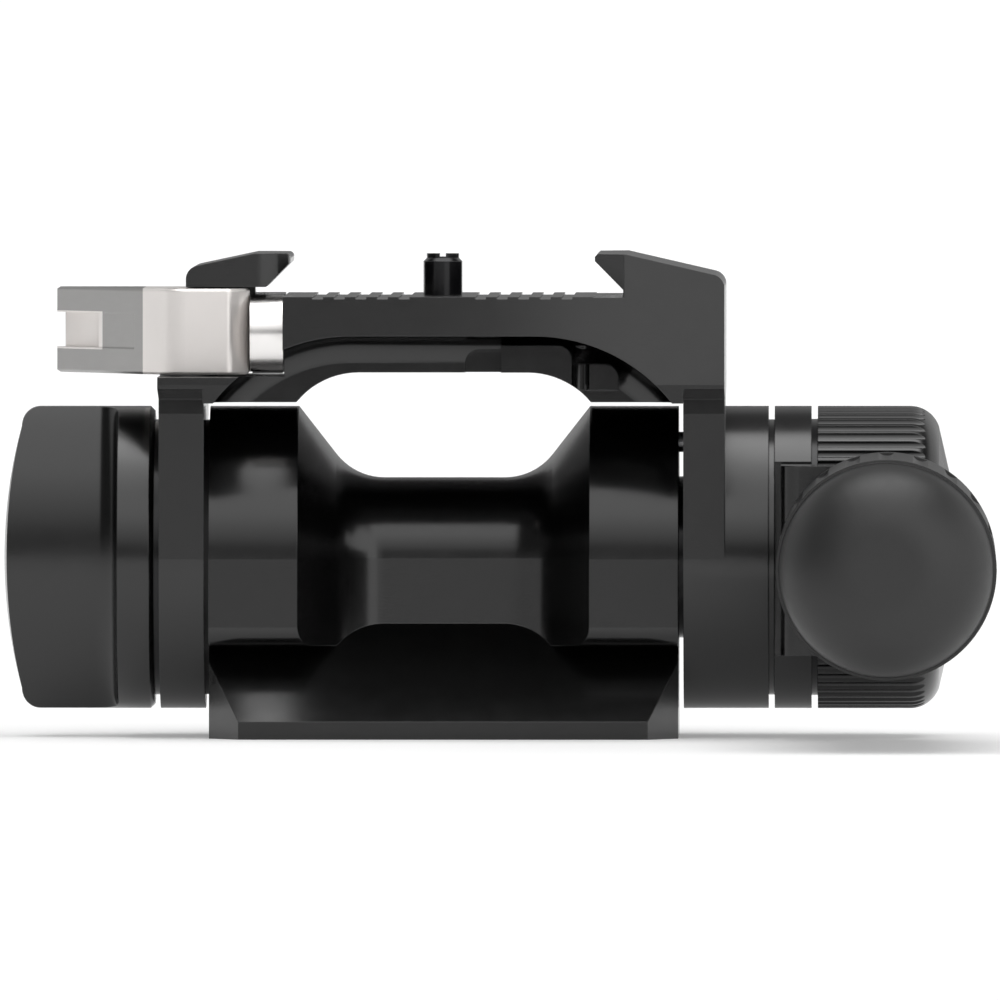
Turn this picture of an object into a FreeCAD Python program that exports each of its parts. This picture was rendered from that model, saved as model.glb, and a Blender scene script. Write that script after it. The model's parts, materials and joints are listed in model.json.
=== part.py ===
import FreeCAD, Part
import Sketcher
import math
import os
import re

# Tilt head for a tripod, with a clamp for camera plates on top and a dovetail foot.
# +X runs along the tilt axis to the handle's side, -Y is the side that the handle points
# to, +Z is up. The origin is the centre of the foot's bottom face. Sizes are millimetres.

os.makedirs("parts", exist_ok=True)
doc = FreeCAD.newDocument("tilt_head")
sheet = doc.addObject("Spreadsheet::Sheet", "Sizes")

# Driving dimensions
SIZES = {
    # Foot and base
    "axis_height": 19.35,
    "hub_radius": 16.3,
    "foot_length": 50.5,
    "foot_depth": 38.0,
    "foot_edge": 1.93,
    "foot_corner_long": 6.2,
    "foot_corner_short": 3.25,
    "foot_thread_radius": 3.97,
    "foot_thread_depth": 8.5,
    "ear_width": 9.55,
    "ear_bottom": 10.0,
    "ear_round": 2.0,
    "waist_radius": 8.6,
    "waist_fillet": 6.5,
    "flare_angle": 52.0,
    # Shaft and what turns on it
    "shaft_radius": 5.0,
    "shaft_thread_radius": 4.0,
    "shaft_drive_radius": 4.2,
    "running_fit": 0.05,
    "set_screw_radius": 2.0,
    "set_screw_length": 6.0,
    "set_screw_place": 14.5,
    "bushing_radius": 6.5,
    "friction_disc_radius": 14.8,
    "friction_disc_thickness": 0.5,
    "thrust_washer_radius": 8.7,
    "thrust_washer_thickness": 0.55,
    "stop_pin_radius": 1.1,
    "stop_pin_circle": 12.4,
    "stop_pin_depth": 4.0,
    "stop_pin_reach": 1.4,
    "stop_slot_side": 0.25,
    "stop_slot_depth": 1.6,
    "tilt_down": 90.0,
    "tilt_up": 75.0,
    # Platform, its heights above the tilt axis
    "platform_depth": 50.0,
    "left_arm_width": 4.85,
    "right_arm_width": 4.47,
    "arm_step_low": 17.25,
    "arm_step_high": 18.45,
    "platform_under": 16.85,
    "ledge_height": 19.65,
    "floor_height": 28.3,
    "shoulder_place": 17.15,
    "belly_height": 20.05,
    "belly_flat": 9.1,
    "belly_radius": 8.7,
    "arch_height": 24.05,
    "arch_flat": 9.9,
    "arch_radius": 18.7,
    "belly_depth": 26.0,
    "cove_radius": 3.0,
    "rib_start": 6.2,
    "rib_end": 18.8,
    "rib_proud": 2.0,
    "rib_high": 22.95,
    "rib_low": 20.95,
    "rib_bend": 13.8,
    "rib_foot": 18.15,
    "rib_corner": 1.5,
    "rib_flute": 0.95,
    "keel_pocket_start": 2.35,
    "keel_pocket_high": 22.55,
    "keel_pocket_depth": 4.0,
    "groove_width": 1.16,
    "groove_depth": 0.25,
    "groove_pitch": 2.32,
    "groove_first": 4.1,
    "floor_land": 16.2,
    "floor_relief": 0.08,
    "jaw_root": 19.4,
    "jaw_tip": 16.35,
    "jaw_land": 0.75,
    "jaw_lead": 0.3,
    "jaw_lead_in": 3.15,
    "jaw_height": 4.55,
    "jaw_flat_end": 19.7,
    "jaw_slope": 13.0,
    "jaw_corner": 1.5,
    # Drag unit in the right arm
    "housing_width": 4.68,
    "drag_radius": 13.4,
    "drag_wall": 2.5,
    "drag_plate": 0.8,
    "drag_plate_gap": 0.5,
    "drag_plate_hole": 8.0,
    "cover_thickness": 2.4,
    "land_radius": 14.85,
    "land_thickness": 0.65,
    "pivot_hub_radius": 9.0,
    "pivot_hub_length": 3.7,
    "stub_radius": 4.0,
    "stub_length": 12.0,
    # Moving jaw, with gaps above the ledge, the floor and the lever
    "moving_root": 19.1,
    "moving_tip": 16.44,
    "moving_nose": 3.6,
    "moving_nose_edge": 0.5,
    "moving_outer": 27.7,
    "moving_flat_end": 20.35,
    "moving_slope": 12.0,
    "moving_front": 14.5,
    "moving_back": 17.5,
    "slab_under": 0.16,
    "carriage_outer": 20.6,
    "carriage_gap": 0.2,
    "carriage_under": 0.3,
    "carriage_top": 0.1,
    "carriage_front": 10.6,
    "block_front": 10.9,
    "clamp_height": 4.6,
    "guide_radius": 2.0,
    "guide_front": 5.5,
    "guide_back": 7.0,
    "guide_reach": 9.0,
    "guide_seat": 2.8,
    "spring_bore_radius": 2.6,
    "spring_depth": 7.0,
    "jaw_spring_radius": 2.3,
    "jaw_spring_wire": 0.35,
    # Clamp lever and its follower
    "follower_radius": 4.1,
    "follower_length": 3.6,
    "follower_gap": 0.1,
    "dowel_radius": 1.0,
    "dowel_seat": 2.6,
    "lever_under": 0.2,
    "lever_height": 9.24,
    "pivot_across": 27.4,
    "pivot_front": 14.19,
    "cam_closed": 6.5,
    "cam_rise": 0.965,
    "cam_corner": 0.8,
    "lever_slant": 5.6,
    "boss_side": 58.0,
    "crease_across": 32.4,
    "tip_across": 42.0,
    "tip_back": 10.2,
    "lever_inner": 24.0,
    "lever_flat": 9.0,
    "tip_slot_low": 2.76,
    "tip_slot_high": 6.5,
    "tip_slot_depth": 0.9,
    "tip_scoop_end": 37.4,
    "tip_scoop_radius": 11.5,
    "lever_groove_end": 33.3,
    "lever_groove_depth": 0.15,
    "lever_edge": 0.25,
    "lever_pin_radius": 1.75,
    "lever_thread_radius": 1.25,
    "lever_thread_length": 6.0,
    "lever_head_radius": 2.5,
    "lever_head_height": 1.8,
    "lever_head_depth": 0.25,
    "lever_washer_rim": 0.6,
    # Centre pin, with its top above the floor
    "pin_across": -0.2,
    "pin_radius": 2.1,
    "pin_top": 4.45,
    "pin_crown_radius": 1.75,
    "pin_crown_height": 0.5,
    "pin_crown_slope": 0.35,
    "pin_slot_width": 0.65,
    "pin_slot_depth": 0.35,
    "pin_collar_radius": 2.4,
    "pin_collar_height": 1.1,
    "pin_cap_wall": 0.75,
    "pin_tail": 0.8,
    "retainer_thickness": 0.9,
    "retainer_drop": 0.1,
    "pin_spring_wire": 0.25,
    "pin_spring_gap": 0.1,
    # Tilt lock knob
    "lock_washer_radius": 14.85,
    "lock_washer_thickness": 0.6,
    "lock_disc_width": 3.9,
    "lock_knob_length": 16.3,
    "lock_end_radius": 54.0,
    "lock_corner": 2.0,
    "lock_edge": 0.5,
    "paddle_thickness": 12.0,
    "paddle_fillet": 2.5,
    "paddle_crown": 32.0,
    "insert_radius": 7.0,
    "insert_flange": 3.2,
    "insert_neck_radius": 5.2,
    "lock_insert_length": 11.5,
    "lock_journal": 1.6,
    "lock_thread_length": 10.5,
    # Handle
    "ring_width": 3.97,
    "seat_place": 11.5,
    "seat_height": 20.8,
    "handle_across": 47.7,
    "block_height": 20.4,
    "block_inset": 0.7,
    "arm_back": 17.1,
    "arm_front": 27.0,
    "arm_corner": 2.0,
    "arm_right": 8.6,
    "spigot_radius": 7.5,
    "spigot_length": 12.0,
    "core_radius": 9.2,
    "grip_radius": 11.7,
    "grip_end": 87.0,
    "grip_gap": 0.3,
    "cap_height": 8.0,
    "cap_edge": 1.2,
    "cap_flat": 3.4,
    "cap_plug": 6.0,
    "cap_rim": 0.3,
    "flute_radius": 1.2,
    "flute_depth": 0.35,
    "flute_margin": 4.0,
    "ring_screw_radius": 1.0,
    "ring_screw_place": 5.0,
    "ring_screw_reach": 5.0,
    "ring_screw_grip": 1.2,
    "ring_screw_head": 1.7,
    "ring_screw_head_height": 1.4,
    # Handle clamp knob
    "clamp_washer_radius": 14.9,
    "clamp_washer_thickness": 0.68,
    "knob_shoulder_start": 9.95,
    "knob_length": 14.35,
    "knob_shoulder": 3.3,
    "knob_shoulder_turn": 70.0,
    "knob_end_radius": 8.4,
    "knob_insert_length": 12.3,
    "rib_groove_radius": 0.55,
    "rib_groove_depth": 0.42,
}

# Levels above the foot's bottom face, worked out from the sizes
LEVELS = {
    "under_level": "axis_height + platform_under",
    "step_low_level": "axis_height + arm_step_low",
    "step_high_level": "axis_height + arm_step_high",
    "ledge_level": "axis_height + ledge_height",
    "floor_level": "axis_height + floor_height",
    "belly_level": "axis_height + belly_height",
    "arch_level": "axis_height + arch_height",
    "jaw_level": "floor_level + jaw_height",
    "clamp_level": "ledge_level + clamp_height",
    "lever_level": "ledge_level + lever_under",
    "lever_top_level": "lever_level + lever_height",
    "slab_level": "lever_top_level + slab_under",
    "carriage_level": "ledge_level + carriage_under",
    "carriage_top_level": "floor_level + carriage_top",
    "pin_level": "floor_level + pin_top",
}
for row, (name, number) in enumerate({**SIZES, **LEVELS}.items(), start=1):
    sheet.set("A%d" % row, name)
    sheet.set("B%d" % row, "=" + number if name in LEVELS else str(number))
    sheet.setAlias("B%d" % row, name)
doc.recompute()

# Counts
RIB_COUNT = 70
FLUTE_COUNT = 20
GROOVES_EACH_SIDE = 5

# Stations along the tilt axis, as distances from the middle
ear_out = "(foot_length / 2)"
ear_in = "(foot_length / 2 - ear_width)"
left_arm_in = "(foot_length / 2 + friction_disc_thickness)"
left_arm_out = "(foot_length / 2 + friction_disc_thickness + left_arm_width)"
lock_face = "(foot_length / 2 + friction_disc_thickness + left_arm_width + lock_washer_thickness)"
right_arm_in = "(foot_length / 2 + thrust_washer_thickness)"
right_arm_out = "(foot_length / 2 + thrust_washer_thickness + right_arm_width)"
drag_floor = "(foot_length / 2 + thrust_washer_thickness + drag_wall)"
housing_out = "(foot_length / 2 + thrust_washer_thickness + right_arm_width + housing_width)"
ring_in = "(" + housing_out + " + land_thickness)"
ring_out = "(" + ring_in + " + ring_width)"
knob_in = "(" + ring_out + " + clamp_washer_thickness)"
lever_pin = ("-pivot_across", "-pivot_front")
follower_front = "(pivot_front - cam_rise)"
carriage_in = "(shoulder_place + carriage_gap)"
follower_face = "(pivot_across - cam_closed - follower_gap)"


def bind(expression):
    """Turn each size's name into the sheet's cell name."""
    def cell(word):
        return "Sizes." + word.group() if word.group() in SIZES or word.group() in LEVELS else word.group()
    return re.sub(r"[a-z][a-z_]*", cell, str(expression))


def value(expression):
    """The number that an expression of sizes gives."""
    return float(sheet.evalExpression(bind(expression)))


def new_body(name):
    """An empty body for one piece."""
    body = doc.addObject("PartDesign::Body", name)
    body.Label = name
    return body


def sketch_on(body, name, plane, shift):
    """A sketch on one of the body's own planes, moved by (along x, along y, along the normal)."""
    sketch = body.newObject("Sketcher::SketchObject", name)
    base = [f for f in body.Origin.OriginFeatures if f.Role == plane + "_Plane"][0]
    sketch.AttachmentSupport = [(base, "")]
    sketch.MapMode = "FlatFace"
    for letter, amount in zip("xyz", shift):
        if amount != 0:
            sketch.setExpression("AttachmentOffset.Base." + letter, bind(amount))
    return sketch


def fix_point(sketch, curve, end, x, y):
    """Hold one point of the sketch at a place given by sizes."""
    for kind, amount in (("DistanceX", x), ("DistanceY", y)):
        number = sketch.addConstraint(Sketcher.Constraint(kind, -1, 1, curve, end, value(amount)))
        sketch.setExpression("Constraints[%d]" % number, bind(amount))


def outline(body, name, plane, corners, shift=(0, 0, 0)):
    """A closed outline through corners (x, y) or (x, y, radius).

    A radius makes the stretch to the next corner an arc: above zero it turns left, below
    zero it turns right.
    """
    sketch = sketch_on(body, name, plane, shift)
    add_outline(sketch, corners)
    return sketch


def add_outline(sketch, corners):
    """Add one closed outline to a sketch."""
    first = sketch.GeometryCount
    points = [FreeCAD.Vector(value(c[0]), value(c[1]), 0) for c in corners]
    ends = []
    for place, corner in enumerate(corners):
        here = points[place]
        there = points[(place + 1) % len(points)]
        if len(corner) == 2:
            sketch.addGeometry(Part.LineSegment(here, there))
            ends.append((1, 2))
            continue
        radius = value(corner[2])
        half = (there - here) * 0.5
        side = FreeCAD.Vector(-half.y, half.x, 0).normalize()
        rise = math.sqrt(max(radius * radius - half.Length ** 2, 0.0))
        centre = here + half + side * math.copysign(rise, radius)
        start, stop = (here, there) if radius > 0 else (there, here)
        circle = Part.Circle(centre, FreeCAD.Vector(0, 0, 1), abs(radius))
        angles = [math.atan2(p.y - centre.y, p.x - centre.x) for p in (start, stop)]
        sketch.addGeometry(Part.ArcOfCircle(circle, angles[0], angles[1]))
        ends.append((1, 2) if radius > 0 else (2, 1))
    for place, corner in enumerate(corners):
        curve = first + place
        after = (place + 1) % len(corners)
        sketch.addConstraint(Sketcher.Constraint(
            "Coincident", curve, ends[place][1], first + after, ends[after][0]))
    for place, corner in enumerate(corners):
        curve = first + place
        fix_point(sketch, curve, ends[place][0], corner[0], corner[1])
        if len(corner) == 3:
            number = sketch.addConstraint(Sketcher.Constraint("Radius", curve, abs(value(corner[2]))))
            sketch.setExpression("Constraints[%d]" % number, "abs(%s)" % bind(corner[2]))


def circle_on(body, name, plane, centre, radius, shift=(0, 0, 0)):
    """A sketch of one circle."""
    sketch = sketch_on(body, name, plane, shift)
    add_circle(sketch, centre, radius)
    return sketch


def add_circle(sketch, centre, radius):
    """Add one circle to a sketch."""
    curve = sketch.GeometryCount
    middle = FreeCAD.Vector(value(centre[0]), value(centre[1]), 0)
    sketch.addGeometry(Part.Circle(middle, FreeCAD.Vector(0, 0, 1), value(radius)))
    fix_point(sketch, curve, 3, centre[0], centre[1])
    number = sketch.addConstraint(Sketcher.Constraint("Radius", curve, value(radius)))
    sketch.setExpression("Constraints[%d]" % number, bind(radius))


def pad(body, sketch, length, both_ways=False, reverse=False):
    """Material of one length from a sketch, along the sketch's normal."""
    feature = body.newObject("PartDesign::Pad", sketch.Name + "_pad")
    feature.Profile = sketch
    feature.Midplane = both_ways
    feature.Reversed = reverse
    feature.setExpression("Length", bind(length))
    doc.recompute()
    return feature


def cut(body, sketch, length, both_ways=False, reverse=False):
    """A pocket of one length from a sketch, against the sketch's normal."""
    before = body.Shape.Volume
    feature = body.newObject("PartDesign::Pocket", sketch.Name + "_cut")
    feature.Profile = sketch
    feature.Midplane = both_ways
    feature.Reversed = reverse
    feature.setExpression("Length", bind(length))
    doc.recompute()
    if body.Shape.Volume > before - 1e-3:
        raise RuntimeError(feature.Name + " cuts nothing")
    return feature


def spin(body, sketch, axis="H_Axis", angle=360.0, both_ways=False, cutting=False, reverse=False):
    """A turned shape, or a turned cut, about an axis of its sketch."""
    before = body.Shape.Volume if cutting else 0.0
    kind = "PartDesign::Groove" if cutting else "PartDesign::Revolution"
    feature = body.newObject(kind, sketch.Name + "_turn")
    feature.Profile = sketch
    feature.ReferenceAxis = (sketch, [axis])
    feature.Midplane = both_ways
    feature.Reversed = reverse
    feature.setExpression("Angle", bind(angle))
    doc.recompute()
    if cutting and body.Shape.Volume > before - 1e-3:
        raise RuntimeError(feature.Name + " cuts nothing")
    return feature


def turned(name, direction, place, corners):
    """A piece turned about one line. Corners are (along the line, radius) or with an arc radius."""
    body = new_body(name)
    if direction == "x":
        sketch = outline(body, name + "_profile", "XZ", corners, (0, place[2], 0))
        spin(body, sketch, "H_Axis")
        return body
    swapped = [(c[1], c[0]) + tuple("-(%s)" % r for r in c[2:]) for c in corners]
    if direction == "z":
        shift = (place[0], 0, "-(%s)" % place[1])
        sketch = outline(body, name + "_profile", "XZ", swapped, shift)
    else:
        sketch = outline(body, name + "_profile", "XY", swapped, (place[0], 0, place[2]))
    spin(body, sketch, "V_Axis")
    return body


def rod(name, direction, place, start, length, radius):
    """A plain cylinder primitive along one row axis, from its start."""
    piece = doc.addObject("Part::Cylinder", name)
    turns = {"x": ((0, 1, 0), 90), "y": ((1, 0, 0), -90), "z": ((0, 0, 1), 0)}
    axis, angle = turns[direction]
    piece.Placement = FreeCAD.Placement(FreeCAD.Vector(), FreeCAD.Rotation(FreeCAD.Vector(*axis), angle))
    piece.setExpression("Radius", bind(radius))
    piece.setExpression("Height", bind(length))
    for letter, amount in zip("xyz", place):
        amount = start if letter == direction else amount
        piece.setExpression(".Placement.Base." + letter, bind(amount))
    doc.recompute()
    return piece


def group(name, pieces):
    """Separate solids kept as one piece."""
    compound = doc.addObject("Part::Compound", name)
    compound.Links = pieces
    compound.Label = name
    doc.recompute()
    return compound


def round_edges(body, name, radius, chosen, chamfer=False):
    """Round or break the edges of the body that a test picks."""
    base = body.Tip
    edges = ["Edge%d" % (i + 1) for i, e in enumerate(base.Shape.Edges) if chosen(e)]
    if not edges:
        raise RuntimeError(name + " finds no edge")
    kind = "PartDesign::Chamfer" if chamfer else "PartDesign::Fillet"
    feature = body.newObject(kind, name)
    feature.Base = (base, edges)
    feature.setExpression("Size" if chamfer else "Radius", bind(radius))
    doc.recompute()
    return feature


def ring_of(body, feature, profile, axis, count):
    """Copies of a feature in a full ring about an axis of a sketch."""
    pattern = body.newObject("PartDesign::PolarPattern", feature.Name + "_ring")
    pattern.Originals = [feature]
    pattern.Axis = (doc.getObject(profile), [axis])
    pattern.Angle = 360
    pattern.Occurrences = count
    body.Tip = pattern
    doc.recompute()


def ends_where(edge, test):
    """True where both ends of an edge pass a test on their point."""
    return all(test(v.Point) for v in edge.Vertexes)


def near(first, second, slack=1e-3):
    """True where two numbers are the same within a slack."""
    return abs(first - second) < slack


on_axis = ("0", "0", "axis_height")


def make_base():
    """Dovetail foot, waisted saddle and two ears, bored for the shaft."""
    body = new_body("base")
    top = "(foot_edge + foot_depth / 2 - waist_radius)"
    foot = outline(body, "foot_profile", "YZ", [
        ("-foot_depth / 2", "0"), ("foot_depth / 2", "0"), ("foot_depth / 2", "foot_edge"),
        ("waist_radius", top), ("-waist_radius", top), ("-foot_depth / 2", "foot_edge")])
    pad(body, foot, "foot_length", both_ways=True)
    corners = sketch_on(body, "foot_corners", "XY", (0, 0, top))
    for side in ("", "-"):
        for end in ("", "-"):
            x_out = side + "(foot_length / 2 + 1)"
            x_far = side + "(foot_length / 2)"
            x_near = side + "(foot_length / 2 - foot_corner_short)"
            y_out = end + "(foot_depth / 2 + 1)"
            y_far = end + "(foot_depth / 2)"
            y_near = end + "(foot_depth / 2 - foot_corner_long)"
            add_outline(corners, [(x_out, y_near), (x_out, y_out), (x_near, y_out),
                                  (x_near, y_far), (x_far, y_near)])
    cut(body, corners, top)

    run = "(hub_radius - waist_radius) / tan(flare_angle)"
    meet = "(%s - %s)" % (ear_in, run)
    reach = "waist_fillet * tan(flare_angle / 2)"
    slope_x = "(%s + %s * cos(flare_angle))" % (meet, reach)
    slope_r = "(waist_radius + %s * sin(flare_angle))" % reach
    flat_x = "(%s - %s)" % (meet, reach)
    upper = outline(body, "saddle_profile", "XZ", [
        ("-" + ear_out, "0"), (ear_out, "0"), (ear_out, "hub_radius"), (ear_in, "hub_radius"),
        (slope_x, slope_r, "-waist_fillet"), (flat_x, "waist_radius"),
        ("-" + flat_x, "waist_radius", "-waist_fillet"), ("-" + slope_x, slope_r),
        ("-" + ear_in, "hub_radius"), ("-" + ear_out, "hub_radius")], (0, "axis_height", 0))
    spin(body, upper, "H_Axis", "180", both_ways=True)
    right = [(ear_out, "hub_radius"), (ear_in, "hub_radius"), (slope_x, slope_r, "-waist_fillet"),
             (flat_x, "waist_radius"), ("-" + flat_x, "waist_radius", "-waist_fillet"),
             ("-" + slope_x, slope_r), ("-" + ear_in, "hub_radius"), ("-" + ear_out, "hub_radius")]
    left = [("-" + ear_out, "-hub_radius"), ("-" + ear_in, "-hub_radius"),
            ("-" + slope_x, "-" + slope_r, "-waist_fillet"), ("-" + flat_x, "-waist_radius"),
            (flat_x, "-waist_radius", "-waist_fillet"), (slope_x, "-" + slope_r),
            (ear_in, "-hub_radius"), (ear_out, "-hub_radius")]
    lower = outline(body, "saddle_plan", "XY", right + left, (0, 0, "axis_height"))
    pad(body, lower, "axis_height - ear_bottom", reverse=True)

    def lower_ear_edge(edge):
        return ends_where(edge, lambda p: near(p.z, value("ear_bottom"))
                          and near(abs(p.y), value("hub_radius")))
    round_edges(body, "ear_rounding", "ear_round", lower_ear_edge)

    cut(body, circle_on(body, "foot_thread", "XY", ("0", "0"), "foot_thread_radius",
                        (0, 0, "foot_thread_depth")), "foot_thread_depth")
    cut(body, circle_on(body, "shaft_bore", "YZ", ("0", "axis_height"), "shaft_radius"),
        "foot_length + 2", both_ways=True)
    screws = sketch_on(body, "set_screw_holes", "XY", (0, 0, "axis_height"))
    add_circle(screws, ("set_screw_place", "0"), "set_screw_radius")
    add_circle(screws, ("-set_screw_place", "0"), "set_screw_radius")
    cut(body, screws, "axis_height")
    cut(body, circle_on(body, "stop_pin_hole", "YZ", ("0", "axis_height + stop_pin_circle"),
                        "stop_pin_radius", (0, 0, ear_out)), "stop_pin_depth")
    return body


def make_shaft_group():
    """Shaft, its set screws, the discs beside the ears, the bushings and the stop pin."""
    thread_start = "(%s + lock_journal)" % lock_face
    thread_end = "(%s + lock_thread_length)" % thread_start
    drive_end = "(%s + 5 * drag_plate)" % drag_floor
    pieces = [turned("tilt_shaft", "x", on_axis, [
        ("-" + thread_end, "0"), (drive_end, "0"), (drive_end, "shaft_drive_radius"),
        (drag_floor, "shaft_drive_radius"), (drag_floor, "shaft_radius"),
        ("-" + thread_start, "shaft_radius"), ("-" + thread_start, "shaft_thread_radius"),
        ("-" + thread_end, "shaft_thread_radius")])]
    screw_low = "axis_height - shaft_radius - set_screw_length"
    pieces.append(group("shaft_set_screws", [
        rod("set_screw_right", "z", ("set_screw_place", "0", "0"), screw_low,
            "set_screw_length", "set_screw_radius"),
        rod("set_screw_left", "z", ("-set_screw_place", "0", "0"), screw_low,
            "set_screw_length", "set_screw_radius")]))
    pieces.append(turned("friction_disc", "x", on_axis, [
        ("-" + left_arm_in, "shaft_radius"), ("-" + ear_out, "shaft_radius"),
        ("-" + ear_out, "friction_disc_radius"), ("-" + left_arm_in, "friction_disc_radius")]))
    pieces.append(turned("thrust_washer", "x", on_axis, [
        (ear_out, "shaft_radius"), (right_arm_in, "shaft_radius"),
        (right_arm_in, "thrust_washer_radius"), (ear_out, "thrust_washer_radius")]))
    bore = "(shaft_radius + running_fit)"
    pieces.append(turned("left_bushing", "x", on_axis, [
        ("-" + left_arm_out, bore), ("-" + left_arm_in, bore),
        ("-" + left_arm_in, "bushing_radius"), ("-" + left_arm_out, "bushing_radius")]))
    pieces.append(turned("right_bushing", "x", on_axis, [
        (right_arm_in, bore), (drag_floor, bore),
        (drag_floor, "bushing_radius"), (right_arm_in, "bushing_radius")]))
    stop = rod("stop_pin", "x", ("0", "0", "axis_height + stop_pin_circle"),
               ear_out + " - stop_pin_depth",
               "stop_pin_depth + thrust_washer_thickness + stop_pin_reach", "stop_pin_radius")
    stop.Label = "stop_pin"
    pieces.append(stop)
    return pieces


def arm_outline(body, name, place):
    """Arm seen along the tilt axis: round below, flat sides, and a step out to full depth."""
    return outline(body, name, "YZ", [
        ("-hub_radius", "axis_height", "hub_radius"), ("0", "axis_height - hub_radius", "hub_radius"),
        ("hub_radius", "axis_height"), ("hub_radius", "step_low_level"),
        ("platform_depth / 2", "step_high_level"), ("platform_depth / 2", "ledge_level"),
        ("-platform_depth / 2", "ledge_level"), ("-platform_depth / 2", "step_high_level"),
        ("-hub_radius", "step_low_level")], (0, 0, place))


def arch_corners(crown, flat, radius):
    """Half-open arch: flat on top, an arc each side, straight down below the platform."""
    foot = "(under_level)"
    x_foot = "(%s + sqrt(%s ^ 2 - (%s - (%s - %s)) ^ 2))" % (flat, radius, foot, crown, radius)
    low = "(under_level - 1)"
    return [("-" + x_foot, low), (x_foot, low), (x_foot, foot, radius), (flat, crown),
            ("-" + flat, crown, radius), ("-" + x_foot, foot)]


def make_platform():
    """Yoke with its two arms, the drag housing, the clamp floor and the fixed jaw."""
    body = new_body("platform")
    outer = right_arm_out
    corner_z = "(jaw_level - (%s - jaw_flat_end) * tan(jaw_slope))" % outer
    bend = "(jaw_corner * tan((90 - jaw_slope) / 2))"
    relief = "floor_level - floor_relief"
    front = outline(body, "bridge_profile", "XZ", [
        ("-" + left_arm_out, "step_high_level"), ("-" + left_arm_in, "step_high_level"),
        ("-" + left_arm_in, "under_level"), (right_arm_in, "under_level"),
        (right_arm_in, "step_high_level"), (outer, "step_high_level"),
        (outer, "%s - %s" % (corner_z, bend), "jaw_corner"),
        ("%s - %s * cos(jaw_slope)" % (outer, bend), "%s + %s * sin(jaw_slope)" % (corner_z, bend)),
        ("jaw_flat_end", "jaw_level"), ("jaw_tip + jaw_lead", "jaw_level"),
        ("jaw_tip", "jaw_level - jaw_lead"), ("jaw_tip", "floor_level + jaw_land + jaw_root - jaw_tip"),
        ("jaw_root", "floor_level + jaw_land"), ("jaw_root", relief),
        ("floor_land", relief), ("floor_land", "floor_level"),
        ("-shoulder_place", "floor_level"), ("-shoulder_place", "ledge_level"),
        ("-" + left_arm_out, "ledge_level")])
    pad(body, front, "platform_depth", both_ways=True)
    arch = arch_corners("arch_level", "arch_flat", "arch_radius")
    side = "(platform_depth - belly_depth) / 2"
    cut(body, outline(body, "front_arch", "XZ", arch, (0, 0, "platform_depth / 2")), side)
    cut(body, outline(body, "back_arch", "XZ", arch, (0, 0, "-belly_depth / 2")), side)
    keel_form(body)
    lead_ins(body)

    pad(body, arm_outline(body, "left_arm", "-" + left_arm_out), "left_arm_width")
    pad(body, arm_outline(body, "right_arm", right_arm_in), "right_arm_width")
    pad(body, circle_on(body, "drag_housing", "YZ", ("0", "axis_height"), "hub_radius",
                        (0, 0, right_arm_out)), "housing_width")
    cut(body, circle_on(body, "drag_pocket", "YZ", ("0", "axis_height"), "drag_radius",
                        (0, 0, housing_out)), "%s - %s" % (housing_out, drag_floor))
    cut(body, circle_on(body, "right_bore", "YZ", ("0", "axis_height"), "bushing_radius",
                        (0, 0, drag_floor)), "drag_wall")
    cut(body, circle_on(body, "left_bore", "YZ", ("0", "axis_height"), "bushing_radius",
                        (0, 0, "-" + left_arm_in)), "left_arm_width")
    stop_slot(body)
    clamp_bores(body)
    floor_grooves(body)
    return body


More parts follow.
